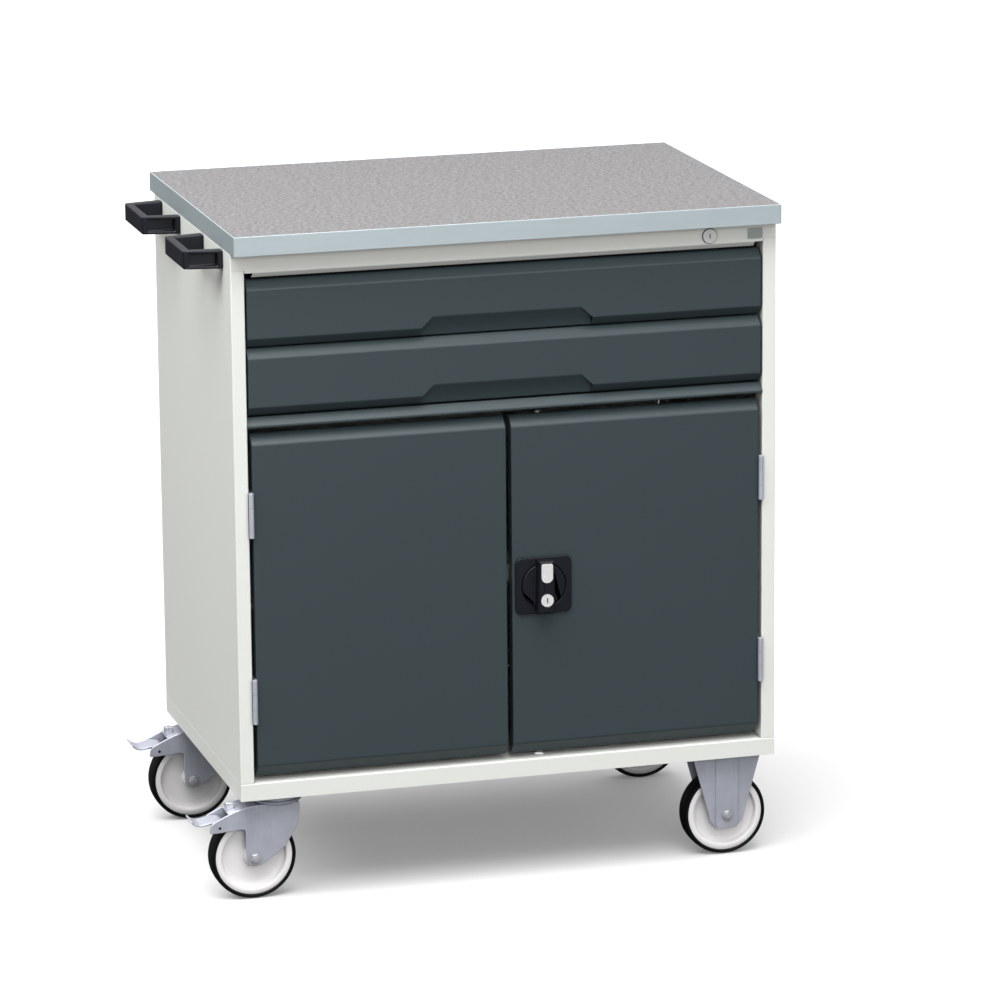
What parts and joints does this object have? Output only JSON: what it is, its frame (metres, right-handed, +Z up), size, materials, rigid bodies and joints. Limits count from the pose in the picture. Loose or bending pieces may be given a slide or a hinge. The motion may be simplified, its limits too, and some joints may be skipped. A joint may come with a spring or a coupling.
{
  "type": "mobile workbench with drawers",
  "caption": "Mobile steel workbench cabinet: drawers over a two-door cupboard, lino worktop, side push handles, braked swivel casters on one side and fixed casters on the other.",
  "frame": {"origin": "on the floor, under the middle of the whole object's bounding box", "axes": "+X to the object's right seen from the front, +Y to its back, +Z up; the drawers and doors face -Y"},
  "size_m": [0.869, 0.55, 0.976],
  "materials": {
    "shell_paint": "fine-textured light grey powder coat",
    "front_paint": "anthracite powder coat with a fine texture",
    "drawer_box_paint": "grey paint",
    "edging_metal": "pale blue-grey metal edging, satin",
    "board_wood": "bonded plywood board",
    "lino": "mottled grey linoleum",
    "zinc": "bright zinc plating",
    "bolt_steel": "plated fasteners",
    "lock_silver": "satin nickel",
    "nameplate_metal": "blank satin plate",
    "handle_plastic": "black moulded plastic",
    "rim_plastic": "off-white nylon",
    "tyre": "black rubber tread"
  },
  "bodies": {
    "cabinet": {"base_pan": "shell_paint", "side_panel_left": "shell_paint", "side_panel_right": "shell_paint", "back_panel": "shell_paint", "top_frame": "shell_paint", "worktop_core": "board_wood", "worktop_edging": "edging_metal", "lino_sheet": "lino", "divider_rail": "front_paint", "shelf": "shell_paint", "shelf_clips": "shell_paint", "drawer_1_outer_slides": "zinc", "drawer_2_outer_slides": "zinc", "hinge_frame_leaves": "zinc", "hinge_pins": "zinc", "nameplate": "nameplate_metal", "fascia_lock_barrel": "lock_silver", "push_handle_front": "handle_plastic", "push_handle_rear": "handle_plastic", "caster_plate_front_left": "zinc", "caster_plate_rear_left": "zinc", "fixed_fork_front_right": "zinc", "fixed_fork_rear_right": "zinc", "fixed_axles": "bolt_steel", "caster_bolts": "bolt_steel"},
    "drawer_1": {"drawer_1_front": "front_paint", "drawer_1_box": "drawer_box_paint"},
    "drawer_1_slide": {"drawer_1_mid_slides": "zinc"},
    "drawer_2": {"drawer_2_front": "front_paint", "drawer_2_box": "drawer_box_paint"},
    "drawer_2_slide": {"drawer_2_mid_slides": "zinc"},
    "door_left": {"door_left_panel": "front_paint", "door_left_liner": "front_paint", "door_left_hinge_leaves": "zinc"},
    "door_right": {"door_right_panel": "front_paint", "door_right_liner": "front_paint", "door_right_hinge_leaves": "zinc", "handle_housing": "handle_plastic", "rod_guides": "zinc"},
    "turn_handle": {"turn_grip": "handle_plastic", "handle_insert": "lock_silver", "handle_cam": "zinc"},
    "handle_key": {"key_plug": "lock_silver"},
    "rod_upper": {"upper_rod": "zinc"},
    "rod_lower": {"lower_rod": "zinc"},
    "drawer_lock": {"fascia_lock_plug": "lock_silver"},
    "swivel_front": {"swivel_fork_front_left": "zinc", "swivel_axle_front_left": "bolt_steel"},
    "swivel_rear": {"swivel_fork_rear_left": "zinc", "swivel_axle_rear_left": "bolt_steel"},
    "pedal_front": {"brake_pedal_front_left": "zinc"},
    "pedal_rear": {"brake_pedal_rear_left": "zinc"},
    "wheel_front_left": {"wheel_rim_front_left": "rim_plastic", "wheel_tyre_front_left": "tyre"},
    "wheel_rear_left": {"wheel_rim_rear_left": "rim_plastic", "wheel_tyre_rear_left": "tyre"},
    "wheel_front_right": {"wheel_rim_front_right": "rim_plastic", "wheel_tyre_front_right": "tyre"},
    "wheel_rear_right": {"wheel_rim_rear_right": "rim_plastic", "wheel_tyre_rear_right": "tyre"}
  },
  "joints": [
    {"name": "drawer_1_open", "type": "slide", "parent": "cabinet", "child": "drawer_1", "axis": [0, -1, 0], "range_m": [0, 0.4]},
    {"name": "drawer_1_mid_slide", "type": "slide", "parent": "cabinet", "child": "drawer_1_slide", "axis": [0, -1, 0], "range_m": [0, 0.2]},
    {"name": "drawer_2_open", "type": "slide", "parent": "cabinet", "child": "drawer_2", "axis": [0, -1, 0], "range_m": [0, 0.4]},
    {"name": "drawer_2_mid_slide", "type": "slide", "parent": "cabinet", "child": "drawer_2_slide", "axis": [0, -1, 0], "range_m": [0, 0.2]},
    {"name": "door_left_swing", "type": "hinge", "parent": "cabinet", "child": "door_left", "pos_m": [-0.34275, -0.2535, 0.4375], "axis": [0, 0, -1], "range_deg": [0, 180]},
    {"name": "door_right_swing", "type": "hinge", "parent": "cabinet", "child": "door_right", "pos_m": [0.41175, -0.2535, 0.4375], "axis": [0, 0, 1], "range_deg": [0, 180]},
    {"name": "handle_turn", "type": "hinge", "parent": "door_right", "child": "turn_handle", "pos_m": [0.08385, -0.255, 0.4395], "axis": [0, -1, 0], "range_deg": [0, 90]},
    {"name": "handle_key_turn", "type": "hinge", "parent": "turn_handle", "child": "handle_key", "pos_m": [0.08385, -0.27, 0.421], "axis": [0, -1, 0], "range_deg": [-90, 90]},
    {"name": "rod_upper_throw", "type": "slide", "parent": "door_right", "child": "rod_upper", "axis": [0, 0, 1], "range_m": [0, 0.014]},
    {"name": "rod_lower_throw", "type": "slide", "parent": "door_right", "child": "rod_lower", "axis": [0, 0, -1], "range_m": [0, 0.014]},
    {"name": "drawer_lock_turn", "type": "hinge", "parent": "cabinet", "child": "drawer_lock", "pos_m": [0.3345, -0.25, 0.9318], "axis": [0, -1, 0], "range_deg": [-90, 0]},
    {"name": "swivel_front_turn", "type": "hinge", "parent": "cabinet", "child": "swivel_front", "pos_m": [-0.3045, -0.206, 0.144], "axis": [0, 0, 1], "continuous": true},
    {"name": "brake_front_press", "type": "hinge", "parent": "swivel_front", "child": "pedal_front", "pos_m": [-0.3925, -0.206, 0.112], "axis": [0, -1, 0], "range_deg": [0, 12]},
    {"name": "wheel_front_left_spin", "type": "hinge", "parent": "swivel_front", "child": "wheel_front_left", "pos_m": [-0.3415, -0.206, 0.0625], "axis": [0, 1, 0], "continuous": true},
    {"name": "swivel_rear_turn", "type": "hinge", "parent": "cabinet", "child": "swivel_rear", "pos_m": [-0.3045, 0.199, 0.144], "axis": [0, 0, 1], "continuous": true},
    {"name": "brake_rear_press", "type": "hinge", "parent": "swivel_rear", "child": "pedal_rear", "pos_m": [-0.3925, 0.199, 0.112], "axis": [0, -1, 0], "range_deg": [0, 12]},
    {"name": "wheel_rear_left_spin", "type": "hinge", "parent": "swivel_rear", "child": "wheel_rear_left", "pos_m": [-0.3415, 0.199, 0.0625], "axis": [0, 1, 0], "continuous": true},
    {"name": "wheel_front_right_spin", "type": "hinge", "parent": "cabinet", "child": "wheel_front_right", "pos_m": [0.3685, -0.206, 0.0625], "axis": [0, 1, 0], "continuous": true},
    {"name": "wheel_rear_right_spin", "type": "hinge", "parent": "cabinet", "child": "wheel_rear_right", "pos_m": [0.3685, 0.199, 0.0625], "axis": [0, 1, 0], "continuous": true}
  ],
  "couplings": [
    {"joint": "drawer_1_mid_slide", "follows": "drawer_1_open", "ratio": 0.5},
    {"joint": "drawer_2_mid_slide", "follows": "drawer_2_open", "ratio": 0.5},
    {"joint": "rod_upper_throw", "follows": "handle_turn", "m_per_rad": 0.0089127},
    {"joint": "rod_lower_throw", "follows": "handle_turn", "m_per_rad": 0.0089127}
  ]
}
